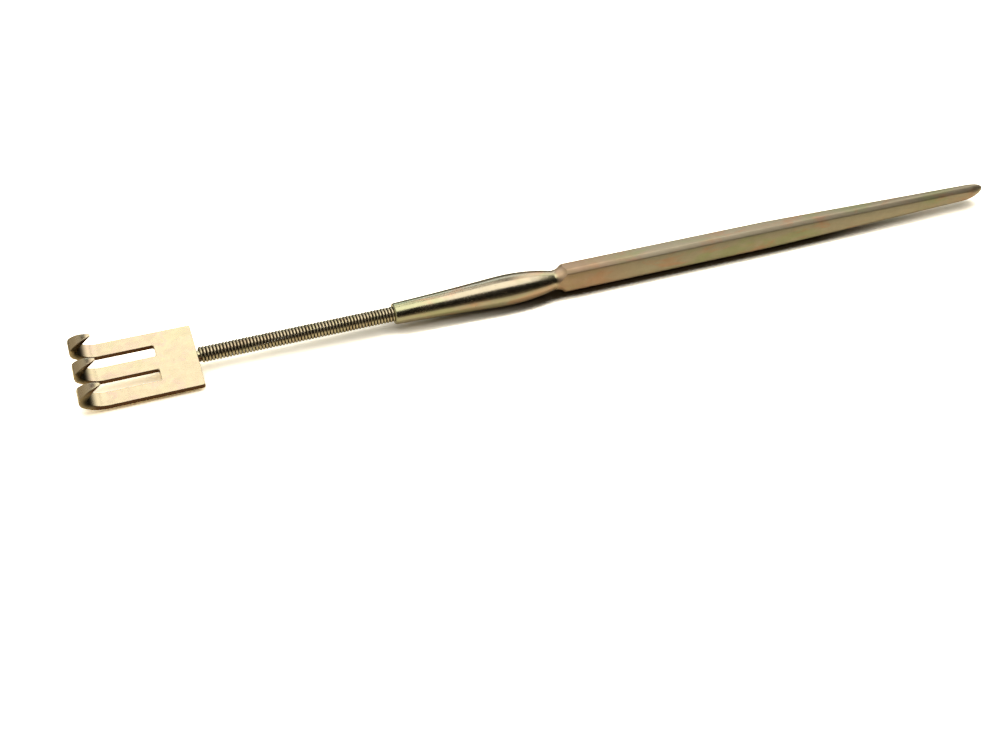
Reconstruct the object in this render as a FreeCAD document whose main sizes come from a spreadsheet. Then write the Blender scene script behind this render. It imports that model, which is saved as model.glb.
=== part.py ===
import FreeCAD, Part
import math
import os
import Sketcher

os.makedirs("parts", exist_ok=True)

App = FreeCAD
doc = FreeCAD.newDocument("Retractor")

# Places nearer than this are the same, and a cut or an added form is larger than this
NEAR = 1e-6

# Driving sizes, in millimetres and degrees
SIZES = {
    "mouth_diameter": 3.45,
    "belly_diameter": 5.1,
    "neck_diameter": 3.3,
    "baluster_length": 28.0,
    "cone_length": 18.0,
    "neck_round": 1.5,
    "flare_round": 4.0,
    "lip_round": 0.3,
    "bar_width": 3.4,
    "bar_height": 4.4,
    "bar_bevel": 0.65,
    "bar_length": 41.5,
    "tail_length": 48.0,
    "tail_width": 2.15,
    "tail_height": 2.75,
    "tail_round": 1.65,
    "socket_depth": 5.0,
    "wire_diameter": 0.5,
    "coil_diameter": 2.5,
    "coil_pitch": 0.512,
    "shank_length": 31.0,
    "seat_gap": 0.02,
    "rake_width": 12.1,
    "rake_thickness": 0.82,
    "rake_corner": 0.3,
    "rake_roll": 16.0,
    "web_length": 5.9,
    "prong_length": 8.05,
    "slot_width": 2.2,
    "slot_corner": 0.35,
    "rise_radius": 4.3,
    "rise_angle": 45.0,
    "curl_radius": 0.95,
    "curl_angle": 88.0,
    "claw_radius": 4.6,
    "claw_angle": 38.0,
    "heel_thickness": 1.1,
    "shoulder_width": 2.34,
    "tip_width": 0.7,
    "tip_thickness": 0.22,
    "tang_length": 4.0,
}

# Sizes that follow from the driving ones, as sheet formulas
DERIVED = {
    "axis_height": "=bar_height / 2",
    "mouth_x": "=-(baluster_length + bar_length / 2)",
    "socket_diameter": "=coil_diameter + 2 * seat_gap",
    "rake_x": "=mouth_x - shank_length",
    "winding_diameter": "=coil_diameter - wire_diameter",
    "coil_length": "=shank_length + socket_depth - 2 * seat_gap - wire_diameter",
    "tang_diameter": "=coil_diameter - 2 * wire_diameter - 2 * seat_gap",
    "prong_width": "=(rake_width - 2 * slot_width) / 3",
    "prong_spacing": "=prong_width + slot_width",
    "rake_length": "=web_length + prong_length",
    "heading_0": "=0",
    "claw_x_0": "=-rake_length",
    "claw_z_0": "=0",
}

# A claw's middle line is three arcs in a row: a gentle rise, a tight curl and a nearly straight point.
# Each arc has a centre and ends at the next station.
ARCS = ("rise", "curl", "claw")
for number, arc in enumerate(ARCS):
    names = {"arc": arc, "here": number, "there": number + 1}
    DERIVED["heading_%d" % (number + 1)] = "=heading_%(here)d + %(arc)s_angle" % names
    DERIVED["%s_x" % arc] = "=claw_x_%(here)d + %(arc)s_radius * sin(heading_%(here)d)" % names
    DERIVED["%s_z" % arc] = "=claw_z_%(here)d + %(arc)s_radius * cos(heading_%(here)d)" % names
    DERIVED["claw_x_%d" % (number + 1)] = "=%(arc)s_x - %(arc)s_radius * sin(heading_%(there)d)" % names
    DERIVED["claw_z_%d" % (number + 1)] = "=%(arc)s_z - %(arc)s_radius * cos(heading_%(there)d)" % names

# Width and thickness of a claw where each arc starts, and at the tip
CLAW_SECTIONS = [
    ("prong_width", "rake_thickness"),
    ("prong_width", "heel_thickness"),
    ("shoulder_width", "heel_thickness"),
    ("tip_width", "tip_thickness"),
]

sheet = doc.addObject("Spreadsheet::Sheet", "Sizes")
for row, (name, value) in enumerate(list(SIZES.items()) + list(DERIVED.items()), start=1):
    sheet.set("A%d" % row, name)
    sheet.set("B%d" % row, str(value))
    sheet.setAlias("B%d" % row, name)
doc.recompute()


# The plane of a body's origin that has the given role
def plane(body, role):
    for feature in body.Origin.OriginFeatures:
        if feature.Role == role:
            return feature


# An empty sketch on one of the body's planes, moved along the plane's normal
def sketch_on(body, name, role, offset=None):
    sketch = body.newObject("Sketcher::SketchObject", name)
    sketch.AttachmentSupport = [(plane(body, role), "")]
    sketch.MapMode = "FlatFace"
    if offset:
        sketch.setExpression("AttachmentOffset.Base.z", offset)
    return sketch


# A constraint whose value follows a sheet formula
def bind(sketch, formula, kind, *places):
    value = float(sketch.evalExpression(formula))
    if kind == "Angle":
        value = math.radians(value)
    number = sketch.addConstraint(Sketcher.Constraint(kind, *places, value))
    sketch.setExpression("Constraints[%d]" % number, formula)


# Pin a sketch point at sheet formulas: 1 is a start, 2 an end and 3 a centre
def pin(sketch, edge, point, x_formula, y_formula):
    bind(sketch, x_formula, "DistanceX", -1, 1, edge, point)
    bind(sketch, y_formula, "DistanceY", -1, 1, edge, point)


# The value of a sheet cell, used only to draw a sketch near its solution
def size(name):
    return float(sheet.get(name))


# Draw a closed outline of straight lines and pin each corner at its two formulas
def outline(sketch, corners):
    points = [App.Vector(x, y, 0) for (x, y), formulas in corners]
    for number, start in enumerate(points):
        end = points[(number + 1) % len(points)]
        sketch.addGeometry(Part.LineSegment(start, end), False)
    for number in range(len(points)):
        following = (number + 1) % len(points)
        sketch.addConstraint(Sketcher.Constraint("Coincident", number, 2, following, 1))
    for number, (place, formulas) in enumerate(corners):
        pin(sketch, number, 1, *formulas)


# An eight-sided section with level faces and equal bevels, across the handle
def octagon(body, name, offset, width, height):
    sketch = sketch_on(body, name, "YZ_Plane", offset)
    half_width = size(width) / 2
    half_height = size(height) / 2
    bevel = size("bar_bevel")
    across = "Sizes.%s / 2" % width
    upright = "Sizes.%s / 2" % height
    short_across = across + " - Sizes.bar_bevel"
    short_upright = upright + " - Sizes.bar_bevel"
    y, z, y_in, z_in = half_width, half_height, half_width - bevel, half_height - bevel
    corners = [
        ((y, -z_in), (across, "-(%s)" % short_upright)),
        ((y, z_in), (across, short_upright)),
        ((y_in, z), (short_across, upright)),
        ((-y_in, z), ("-(%s)" % short_across, upright)),
        ((-y, z_in), ("-(%s)" % across, short_upright)),
        ((-y, -z_in), ("-(%s)" % across, "-(%s)" % short_upright)),
        ((-y_in, -z), ("-(%s)" % short_across, "-(%s)" % upright)),
        ((y_in, -z), (short_across, "-(%s)" % upright)),
    ]
    outline(sketch, corners)
    return sketch


# Handle: eight-sided bar with a tapered tail, turned baluster and a blind socket for the coil
def make_handle():
    body = doc.addObject("PartDesign::Body", "Handle")
    body.Label = "handle"
    body.setExpression("Placement.Base.x", "Sizes.mouth_x")
    body.setExpression("Placement.Base.z", "Sizes.axis_height")
    tail_start = "Sizes.baluster_length + Sizes.bar_length"
    tail_end = tail_start + " + Sizes.tail_length"

    front = octagon(body, "BarFront", "Sizes.baluster_length", "bar_width", "bar_height")
    middle = octagon(body, "BarMiddle", tail_start, "bar_width", "bar_height")
    end = octagon(body, "BarEnd", tail_end, "tail_width", "tail_height")
    bar = body.newObject("PartDesign::AdditiveLoft", "Bar")
    bar.Profile = front
    bar.Sections = [middle, end]
    bar.Ruled = True
    doc.recompute()

    flare = flare_cut(body)
    tail = tail_cut(body, tail_end)
    baluster = baluster_turning(body)

    mouth = sketch_on(body, "SocketSketch", "YZ_Plane")
    mouth.addGeometry(Part.Circle(App.Vector(0, 0, 0), App.Vector(0, 0, 1), size("socket_diameter") / 2), False)
    mouth.addConstraint(Sketcher.Constraint("Coincident", 0, 3, -1, 1))
    bind(mouth, "Sizes.socket_diameter", "Diameter", 0)
    socket = body.newObject("PartDesign::Pocket", "Socket")
    socket.Profile = mouth
    socket.Reversed = True
    socket.setExpression("Length", "Sizes.socket_depth")
    doc.recompute()
    check_change("flare", bar, flare, -1)
    check_change("tail", flare, tail, -1)
    check_change("baluster", tail, baluster, 1)
    check_change("socket", baluster, socket, -1)
    return body


# Cut the front of the bar to a round flare, which leaves each flat with a curved start
def flare_cut(body):
    sketch = sketch_on(body, "FlareSketch", "XZ_Plane")
    neck_x = size("baluster_length")
    neck = size("neck_diameter") / 2
    sweep = size("flare_round")
    centre = App.Vector(neck_x, neck + sweep, 0)
    low = App.Vector(neck_x, neck, 0)
    side = App.Vector(neck_x + sweep, neck + sweep, 0)
    top = App.Vector(neck_x, neck + sweep, 0)
    quarter = Part.Arc(Part.Circle(centre, App.Vector(0, 0, 1), sweep), -math.pi / 2, 0.0)
    sketch.addGeometry(quarter, False)
    sketch.addGeometry(Part.LineSegment(side, top), False)
    sketch.addGeometry(Part.LineSegment(top, low), False)
    sketch.addConstraint(Sketcher.Constraint("Coincident", 0, 2, 1, 1))
    sketch.addConstraint(Sketcher.Constraint("Coincident", 1, 2, 2, 1))
    sketch.addConstraint(Sketcher.Constraint("Coincident", 2, 2, 0, 1))
    sketch.addConstraint(Sketcher.Constraint("Coincident", 1, 2, 0, 3))
    sketch.addConstraint(Sketcher.Constraint("Horizontal", 1))
    pin(sketch, 0, 1, "Sizes.baluster_length", "Sizes.neck_diameter / 2")
    pin(sketch, 0, 3, "Sizes.baluster_length", "Sizes.neck_diameter / 2 + Sizes.flare_round")
    return turned(body, "PartDesign::Groove", "Flare", sketch)


# Round the end of the tail to a dome
def tail_cut(body, tail_end):
    sketch = sketch_on(body, "TailSketch", "XZ_Plane")
    end_x = size("baluster_length") + size("bar_length") + size("tail_length")
    dome = size("tail_round")
    centre = App.Vector(end_x - dome, 0, 0)
    tip = App.Vector(end_x, 0, 0)
    crown = App.Vector(end_x - dome, dome, 0)
    crown_out = App.Vector(end_x - dome, 2 * dome, 0)
    tip_out = App.Vector(end_x + dome, 2 * dome, 0)
    tip_axis = App.Vector(end_x + dome, 0, 0)
    sketch.addGeometry(Part.Arc(Part.Circle(centre, App.Vector(0, 0, 1), dome), 0.0, math.pi / 2), False)
    for start, end in ((crown, crown_out), (crown_out, tip_out), (tip_out, tip_axis), (tip_axis, tip)):
        sketch.addGeometry(Part.LineSegment(start, end), False)
    sketch.addConstraint(Sketcher.Constraint("Coincident", 0, 2, 1, 1))
    for number in (1, 2, 3):
        sketch.addConstraint(Sketcher.Constraint("Coincident", number, 2, number + 1, 1))
    sketch.addConstraint(Sketcher.Constraint("Coincident", 4, 2, 0, 1))
    sketch.addConstraint(Sketcher.Constraint("Vertical", 1))
    sketch.addConstraint(Sketcher.Constraint("Vertical", 3))
    pin(sketch, 0, 1, tail_end, "0")
    pin(sketch, 0, 3, tail_end + " - Sizes.tail_round", "0")
    bind(sketch, tail_end + " - Sizes.tail_round", "DistanceX", -1, 1, 0, 2)
    bind(sketch, "2 * Sizes.tail_round", "DistanceY", -1, 1, 1, 2)
    pin(sketch, 3, 1, tail_end + " + Sizes.tail_round", "2 * Sizes.tail_round")
    bind(sketch, "0", "DistanceY", -1, 1, 4, 1)
    return turned(body, "PartDesign::Groove", "TailDome", sketch)


# Revolve a sketch in the body's upright plane about the handle's axis
def turned(body, kind, name, sketch):
    feature = body.newObject(kind, name)
    feature.Profile = sketch
    feature.ReferenceAxis = (sketch, ["H_Axis"])
    feature.Angle = 360
    doc.recompute()
    return feature


# The turned front: lipped mouth, long cone, round belly and waisted neck
def baluster_turning(body):
    sketch = sketch_on(body, "BalusterSketch", "XZ_Plane")
    mouth = size("mouth_diameter") / 2
    belly = size("belly_diameter") / 2
    neck = size("neck_diameter") / 2
    lip = size("lip_round")
    cone = size("cone_length")
    length = size("baluster_length")
    bend = size("neck_round")
    tilt = math.atan2(belly - mouth, cone)
    neck_centre = App.Vector(length, neck + bend, 0)
    reach = neck_centre - App.Vector(cone, belly, 0)
    drop = reach.x * math.sin(tilt) - reach.y * math.cos(tilt)
    crown = (reach.Length ** 2 - bend ** 2) / (2 * (bend + drop))
    crown_centre = App.Vector(cone + crown * math.sin(tilt), belly - crown * math.cos(tilt), 0)
    between = neck_centre - crown_centre
    meet = crown_centre + between * (crown / (crown + bend))
    start_angle = (meet - crown_centre).getAngle(App.Vector(1, 0, 0))
    end_angle = (App.Vector(cone, belly, 0) - crown_centre).getAngle(App.Vector(1, 0, 0))
    neck_angle = -(meet - neck_centre).getAngle(App.Vector(1, 0, 0))
    axis = App.Vector(0, 0, 1)
    inner = App.Vector(0, 0, 0)
    face = App.Vector(0, mouth - lip, 0)
    rim = App.Vector(lip, mouth, 0)
    shoulder = App.Vector(cone, belly, 0)
    waist = App.Vector(length, neck, 0)
    core = App.Vector(length + bend, neck, 0)
    core_axis = App.Vector(length + bend, 0, 0)
    sketch.addGeometry(Part.LineSegment(inner, face), False)
    sketch.addGeometry(Part.Arc(Part.Circle(App.Vector(lip, mouth - lip, 0), axis, lip), math.pi / 2, math.pi), False)
    sketch.addGeometry(Part.LineSegment(rim, shoulder), False)
    sketch.addGeometry(Part.Arc(Part.Circle(crown_centre, axis, crown), start_angle, end_angle), False)
    sketch.addGeometry(Part.Arc(Part.Circle(neck_centre, axis, bend), neck_angle, -math.pi / 2), False)
    sketch.addGeometry(Part.LineSegment(waist, core), False)
    sketch.addGeometry(Part.LineSegment(core, core_axis), False)
    sketch.addGeometry(Part.LineSegment(core_axis, inner), False)
    join = Sketcher.Constraint
    sketch.addConstraint(join("Coincident", 0, 2, 1, 2))
    sketch.addConstraint(join("Coincident", 1, 1, 2, 1))
    sketch.addConstraint(join("Tangent", 2, 2, 3, 2))
    sketch.addConstraint(join("Tangent", 3, 1, 4, 1))
    sketch.addConstraint(join("Tangent", 4, 2, 5, 1))
    sketch.addConstraint(join("Coincident", 5, 2, 6, 1))
    sketch.addConstraint(join("Coincident", 6, 2, 7, 1))
    sketch.addConstraint(join("Coincident", 7, 2, 0, 1))
    sketch.addConstraint(join("Coincident", 0, 1, -1, 1))
    sketch.addConstraint(join("Vertical", 0))
    sketch.addConstraint(join("Horizontal", 5))
    sketch.addConstraint(join("Vertical", 6))
    sketch.addConstraint(join("Horizontal", 7))
    pin(sketch, 1, 3, "Sizes.lip_round", "Sizes.mouth_diameter / 2 - Sizes.lip_round")
    bind(sketch, "Sizes.lip_round", "DistanceX", -1, 1, 2, 1)
    bind(sketch, "Sizes.mouth_diameter / 2 - Sizes.lip_round", "DistanceY", -1, 1, 0, 2)
    pin(sketch, 2, 2, "Sizes.cone_length", "Sizes.belly_diameter / 2")
    pin(sketch, 5, 1, "Sizes.baluster_length", "Sizes.neck_diameter / 2")
    bind(sketch, "Sizes.neck_round", "Radius", 4)
    bind(sketch, "Sizes.neck_round", "DistanceX", 5, 1, 5, 2)
    return turned(body, "PartDesign::Revolution", "Baluster", sketch)


# Rake: slotted plate, three prongs curled up to blunt claws and a round tang for the coil
def make_rake():
    body = doc.addObject("PartDesign::Body", "Rake")
    body.Label = "rake_blade"
    body.Placement = App.Placement(App.Vector(0, 0, 0), App.Rotation(App.Vector(1, 0, 0), size("rake_roll")))
    body.setExpression("Placement.Base.x", "Sizes.rake_x")
    body.setExpression("Placement.Base.z", "Sizes.axis_height")
    body.setExpression("Placement.Rotation.Angle", "Sizes.rake_roll")

    plate_sketch = sketch_on(body, "PlateSketch", "XY_Plane")
    length = size("rake_length")
    half = size("rake_width") / 2
    width = "Sizes.rake_width / 2"
    outline(plate_sketch, [
        ((-length, -half), ("-Sizes.rake_length", "-" + width)),
        ((0, -half), ("0", "-" + width)),
        ((0, half), ("0", width)),
        ((-length, half), ("-Sizes.rake_length", width)),
    ])
    plate = body.newObject("PartDesign::Pad", "Plate")
    plate.Profile = plate_sketch
    plate.Midplane = True
    plate.setExpression("Length", "Sizes.rake_thickness")
    doc.recompute()

    corners = body.newObject("PartDesign::Fillet", "PlateCorners")
    corners.Base = (plate, upright_edges(plate, 0.0))
    corners.setExpression("Radius", "Sizes.rake_corner")
    doc.recompute()

    slot = slot_cut(body)
    claws = claw_row(body)

    tang_sketch = sketch_on(body, "TangSketch", "YZ_Plane")
    tang_sketch.addGeometry(
        Part.Circle(App.Vector(0, 0, 0), App.Vector(0, 0, 1), size("tang_diameter") / 2), False)
    tang_sketch.addConstraint(Sketcher.Constraint("Coincident", 0, 3, -1, 1))
    bind(tang_sketch, "Sizes.tang_diameter", "Diameter", 0)
    tang = body.newObject("PartDesign::Pad", "Tang")
    tang.Profile = tang_sketch
    tang.setExpression("Length", "Sizes.tang_length")
    doc.recompute()
    check_change("slots", corners, slot, -1)
    check_change("claws", slot, claws, 1)
    check_change("tang", claws, tang, 1)
    return body


# Names of a shape's upright straight edges at one place along the rake
def upright_edges(feature, x):
    names = []
    for number, edge in enumerate(feature.Shape.Edges, start=1):
        low, high = edge.Vertexes[0].Point, edge.Vertexes[-1].Point
        upright = abs(low.x - high.x) + abs(low.y - high.y) < NEAR
        if upright and abs(low.x - x) < NEAR:
            names.append("Edge%d" % number)
    return names


# Two slots between the prongs, rounded at their closed ends and cut past the prongs' ends
def slot_cut(body):
    sketch = sketch_on(body, "SlotSketch", "XY_Plane")
    mouth_x = -size("rake_length") - size("slot_width")
    end_x = -size("web_length")
    half_slot = size("slot_width") / 2
    offset = size("prong_spacing") / 2
    for side in (-1, 1):
        near = "%d * Sizes.prong_spacing / 2 - Sizes.slot_width / 2" % side
        far = "%d * Sizes.prong_spacing / 2 + Sizes.slot_width / 2" % side
        low = side * offset - half_slot
        high = side * offset + half_slot
        first = len(sketch.Geometry)
        places = [(mouth_x, low), (end_x, low), (end_x, high), (mouth_x, high)]
        for number in range(4):
            start = App.Vector(*places[number], 0)
            end = App.Vector(*places[(number + 1) % 4], 0)
            sketch.addGeometry(Part.LineSegment(start, end), False)
        for number in range(4):
            following = first + (number + 1) % 4
            sketch.addConstraint(Sketcher.Constraint("Coincident", first + number, 2, following, 1))
        pin(sketch, first, 1, "-Sizes.rake_length - Sizes.slot_width", near)
        pin(sketch, first + 1, 1, "-Sizes.web_length", near)
        pin(sketch, first + 2, 1, "-Sizes.web_length", far)
        pin(sketch, first + 3, 1, "-Sizes.rake_length - Sizes.slot_width", far)
    slots = body.newObject("PartDesign::Pocket", "Slots")
    slots.Profile = sketch
    slots.Midplane = True
    slots.setExpression("Length", "2 * Sizes.rake_thickness")
    doc.recompute()
    rounds = body.newObject("PartDesign::Fillet", "SlotCorners")
    rounds.Base = (slots, upright_edges(slots, -size("web_length")))
    rounds.setExpression("Radius", "Sizes.slot_corner")
    doc.recompute()
    return rounds


# One claw swept along its three arcs, then repeated across the rake
def claw_row(body):
    path = sketch_on(body, "ClawPath", "XZ_Plane", "Sizes.prong_spacing")
    for number, arc in enumerate(ARCS):
        centre = App.Vector(size(arc + "_x"), size(arc + "_z"), 0)
        begins = -math.pi / 2 - math.radians(size("heading_%d" % number))
        ends = -math.pi / 2 - math.radians(size("heading_%d" % (number + 1)))
        circle = Part.Circle(centre, App.Vector(0, 0, 1), size(arc + "_radius"))
        path.addGeometry(Part.Arc(circle, ends, begins), False)
    pin(path, 0, 2, "Sizes.claw_x_0", "Sizes.claw_z_0")
    for number, arc in enumerate(ARCS):
        if number:
            path.addConstraint(Sketcher.Constraint("Coincident", number - 1, 1, number, 2))
        pin(path, number, 3, "Sizes.%s_x" % arc, "Sizes.%s_z" % arc)
        bind(path, "Sizes.claw_x_%d" % (number + 1), "DistanceX", -1, 1, number, 1)

    sections = []
    for station, (width, thickness) in enumerate(CLAW_SECTIONS):
        section = sketch_on(body, "ClawSection%d" % station, "YZ_Plane", "Sizes.claw_x_%d" % station)
        heading = App.Rotation(App.Vector(1, 0, 0), size("heading_%d" % station))
        section.AttachmentOffset = App.Placement(App.Vector(0, 0, 0), heading)
        section.setExpression("AttachmentOffset.Base.x", "-Sizes.prong_spacing")
        section.setExpression("AttachmentOffset.Base.y", "Sizes.claw_z_%d" % station)
        section.setExpression("AttachmentOffset.Rotation.Angle", "Sizes.heading_%d" % station)
        side, rise = size(width) / 2, size(thickness) / 2
        across, upright = "Sizes.%s / 2" % width, "Sizes.%s / 2" % thickness
        outline(section, [
            ((-side, -rise), ("-" + across, "-" + upright)),
            ((side, -rise), (across, "-" + upright)),
            ((side, rise), (across, upright)),
            ((-side, rise), ("-" + across, upright)),
        ])
        sections.append(section)
    doc.recompute()
    claw = body.newObject("PartDesign::AdditivePipe", "Claw")
    claw.Profile = sections[0]
    claw.Spine = (path, ["Edge%d" % (number + 1) for number in range(len(ARCS))])
    claw.Transformation = 1
    claw.Sections = sections[1:]
    doc.recompute()

    row = body.newObject("PartDesign::LinearPattern", "ClawRow")
    row.Originals = [claw]
    row.Direction = (sections[0], ["H_Axis"])
    row.setExpression("Length", "2 * Sizes.prong_spacing")
    row.Occurrences = 3
    body.Tip = row
    doc.recompute()
    return row


# Coil: round wire wound close in a helix, from the rake into the handle's socket
def make_coil():
    helix = doc.addObject("Part::Helix", "CoilPath")
    helix.setExpression("Pitch", "Sizes.coil_pitch")
    helix.setExpression("Height", "Sizes.coil_length")
    helix.setExpression("Radius", "Sizes.winding_diameter / 2")
    helix.SegmentLength = 0
    wire = doc.addObject("Part::Circle", "CoilWire")
    wire.setExpression("Radius", "Sizes.wire_diameter / 2")
    wire.Placement = App.Placement(App.Vector(0, 0, 0), App.Rotation(App.Vector(1, 0, 0), 90))
    wire.setExpression("Placement.Base.x", "Sizes.winding_diameter / 2")
    doc.recompute()
    coil = doc.addObject("Part::Sweep", "Coil")
    coil.Label = "coil_spring"
    coil.Sections = [wire]
    coil.Spine = (helix, ["Edge1"])
    coil.Solid = True
    coil.Frenet = True
    coil.Placement = App.Placement(App.Vector(0, 0, 0), App.Rotation(App.Vector(0, 1, 0), 90))
    coil.setExpression("Placement.Base.x", "Sizes.rake_x + Sizes.seat_gap + Sizes.wire_diameter / 2")
    coil.setExpression("Placement.Base.z", "Sizes.axis_height")
    doc.recompute()
    return coil


# Stop when a cut or an added form left the solid as it was
def check_change(name, before, after, sign):
    change = (after.Shape.Volume - before.Shape.Volume) * sign
    print("%s changes the volume by %.3f" % (name, change * sign))
    if change < NEAR:
        raise RuntimeError(name + " changes nothing")


parts = [make_handle(), make_coil(), make_rake()]
doc.recompute()
for feature in doc.Objects:
    if "Invalid" in feature.State or "Error" in feature.State:
        raise RuntimeError("%s failed" % feature.Name)
for part in parts:
    shape = part.Shape
    if shape.isNull() or not shape.isValid() or len(shape.Solids) != 1:
        raise RuntimeError("%s has no sound solid" % part.Label)
    shape.exportStep("parts/%s.step" % part.Label)
    box = shape.BoundBox
    print("%s volume %.2f, x %.2f..%.2f, y %.2f..%.2f, z %.2f..%.2f" % (
        part.Label, shape.Volume, box.XMin, box.XMax, box.YMin, box.YMax, box.ZMin, box.ZMax))
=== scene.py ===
import math
import bpy
import bmesh
from mathutils import Matrix, Vector


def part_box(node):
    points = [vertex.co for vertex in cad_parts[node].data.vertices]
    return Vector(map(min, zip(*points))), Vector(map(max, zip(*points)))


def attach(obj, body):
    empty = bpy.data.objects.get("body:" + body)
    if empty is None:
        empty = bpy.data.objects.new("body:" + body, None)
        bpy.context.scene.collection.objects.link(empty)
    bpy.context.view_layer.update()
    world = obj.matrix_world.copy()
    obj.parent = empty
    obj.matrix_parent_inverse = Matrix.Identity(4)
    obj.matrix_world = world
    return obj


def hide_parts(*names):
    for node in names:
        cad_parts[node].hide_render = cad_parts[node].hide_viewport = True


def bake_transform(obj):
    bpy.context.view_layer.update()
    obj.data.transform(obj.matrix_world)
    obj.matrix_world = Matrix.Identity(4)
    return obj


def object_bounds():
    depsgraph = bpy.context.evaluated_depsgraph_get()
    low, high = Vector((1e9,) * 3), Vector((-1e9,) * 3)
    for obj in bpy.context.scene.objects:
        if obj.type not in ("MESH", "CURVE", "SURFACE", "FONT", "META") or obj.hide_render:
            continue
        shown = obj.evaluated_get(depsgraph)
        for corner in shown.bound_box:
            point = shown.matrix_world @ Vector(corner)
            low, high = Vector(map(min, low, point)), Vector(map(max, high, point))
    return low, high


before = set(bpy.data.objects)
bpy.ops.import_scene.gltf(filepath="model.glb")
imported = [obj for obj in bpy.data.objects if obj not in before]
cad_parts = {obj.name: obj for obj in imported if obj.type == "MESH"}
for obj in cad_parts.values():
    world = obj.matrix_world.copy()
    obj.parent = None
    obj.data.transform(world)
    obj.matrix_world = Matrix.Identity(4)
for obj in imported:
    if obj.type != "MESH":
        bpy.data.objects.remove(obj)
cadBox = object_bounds()
mm = 0.001
nearby = 0.1 * mm
tiny = 1e-6     # places closer than this are the same
facing = 0.9    # a normal this far along an axis faces that way

# places that the frame gives, in metres
handleLow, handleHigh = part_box("handle")
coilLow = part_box("coil_spring")[0]
mouthX = handleLow.x
tailX = handleHigh.x
axisZ = (handleLow.z + handleHigh.z) / 2
tableZ = cadBox[0].z


# small helpers are kept together, they only wrap what the menus do

def deselectAll():
    if bpy.context.mode != "OBJECT":
        bpy.ops.object.mode_set(mode="OBJECT")
    bpy.ops.object.select_all(action="DESELECT")


def selectOnly(piece):
    deselectAll()
    piece.select_set(True)
    bpy.context.view_layer.objects.active = piece


def newPiece(name):
    piece = bpy.context.object
    piece.name = name
    piece.data.name = name
    return piece


def applyPlace(piece):
    selectOnly(piece)
    bpy.ops.object.transform_apply(location=True, rotation=True, scale=True)


def editPiece(piece, mode):
    selectOnly(piece)
    bpy.ops.object.mode_set(mode="EDIT")
    bpy.ops.mesh.select_mode(type=mode)
    bpy.ops.mesh.select_all(action="DESELECT")


# selects what passes the test, by the place of its middle and its normal
def pick(piece, kind, test):
    bpy.ops.mesh.select_all(action="DESELECT")
    mesh = bmesh.from_edit_mesh(piece.data)
    mesh.normal_update()
    if kind == "FACE":
        for face in mesh.faces:
            if test(face.calc_center_median(), face.normal):
                face.select = True
    elif kind == "EDGE":
        for edge in mesh.edges:
            ends = edge.verts[0].co, edge.verts[1].co
            if test((ends[0] + ends[1]) / 2, (ends[1] - ends[0])):
                edge.select = True
    else:
        for vert in mesh.verts:
            if test(vert.co, vert.normal):
                vert.select = True
    mesh.select_flush_mode()
    bmesh.update_edit_mesh(piece.data)


# pulls out what is selected, along the axis and upwards
def extrudeBy(along, up=0):
    bpy.ops.mesh.extrude_region_move(TRANSFORM_OT_translate={"value": (along, 0, up)})


def addModifier(piece, kind, **settings):
    modifier = piece.modifiers.new(kind.title(), kind)
    for setting, value in settings.items():
        setattr(modifier, setting, value)
    selectOnly(piece)
    bpy.ops.object.modifier_apply(modifier=modifier.name)


# rounds the edges that turn by more than the given angle
def softenEdges(piece, width, steps, above):
    addModifier(piece, "BEVEL", width=width, segments=steps, limit_method="ANGLE",
                angle_limit=math.radians(above))


def shadeByAngle(piece, degrees):
    selectOnly(piece)
    bpy.ops.object.shade_smooth_by_angle(angle=math.radians(degrees))


# handle: turned blank, then the eight flats milled on it

handle = {
    "mouthRadius": 1.725 * mm,
    "conePull": 0.05 * mm,      # the cone is slightly hollow
    "bellyRadius": 2.55 * mm,
    "neckRadius": 1.65 * mm,
    "balusterLength": 28.0 * mm,
    "coneLength": 18.0 * mm,
    "neckRound": 1.5 * mm,
    "flareRound": 2.7 * mm,
    "lipRound": 0.3 * mm,
    "boreRadius": 1.27 * mm,
    "boreDepth": 5.0 * mm,
    "blankRadius": 3.2 * mm,
    "shoulder": 0.4 * mm,       # the last bit of blank before the nose
    "noseLength": 4.6 * mm,
    "noseRadius": 1.55 * mm,
    "noseSlim": 0.8,            # the nose is narrower than it is tall
    "noseLift": 0.35 * mm,      # and its tip sits above the middle
    "tailLength": 48.0 * mm,
    "barWidth": 3.4 * mm,
    "barHeight": 4.4 * mm,
    "barBevel": 0.65 * mm,
    "tailWidth": 2.15 * mm,
    "tailHeight": 2.75 * mm,
    "edgeSoft": (0.14 * mm, 3, 30),     # width, steps, and the turn from which an edge is soft
    "stockCuts": (1.0 * mm, 3.2 * mm, 5.0 * mm, 9.0 * mm, 16.0 * mm),
    "stockFront": 3,            # how much the stock's front is oversize
    "stockSpare": 1.0 * mm,     # and how far it stands past the ends
    "weld": 0.002 * mm,
    "around": 96,
    "lipSteps": 4,
    "coneSteps": 12,
    "crownSteps": 18,
    "neckSteps": 9,
    "flareSteps": 18,
    "noseSteps": 16,
    "smoothBelow": 17,
}


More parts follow.
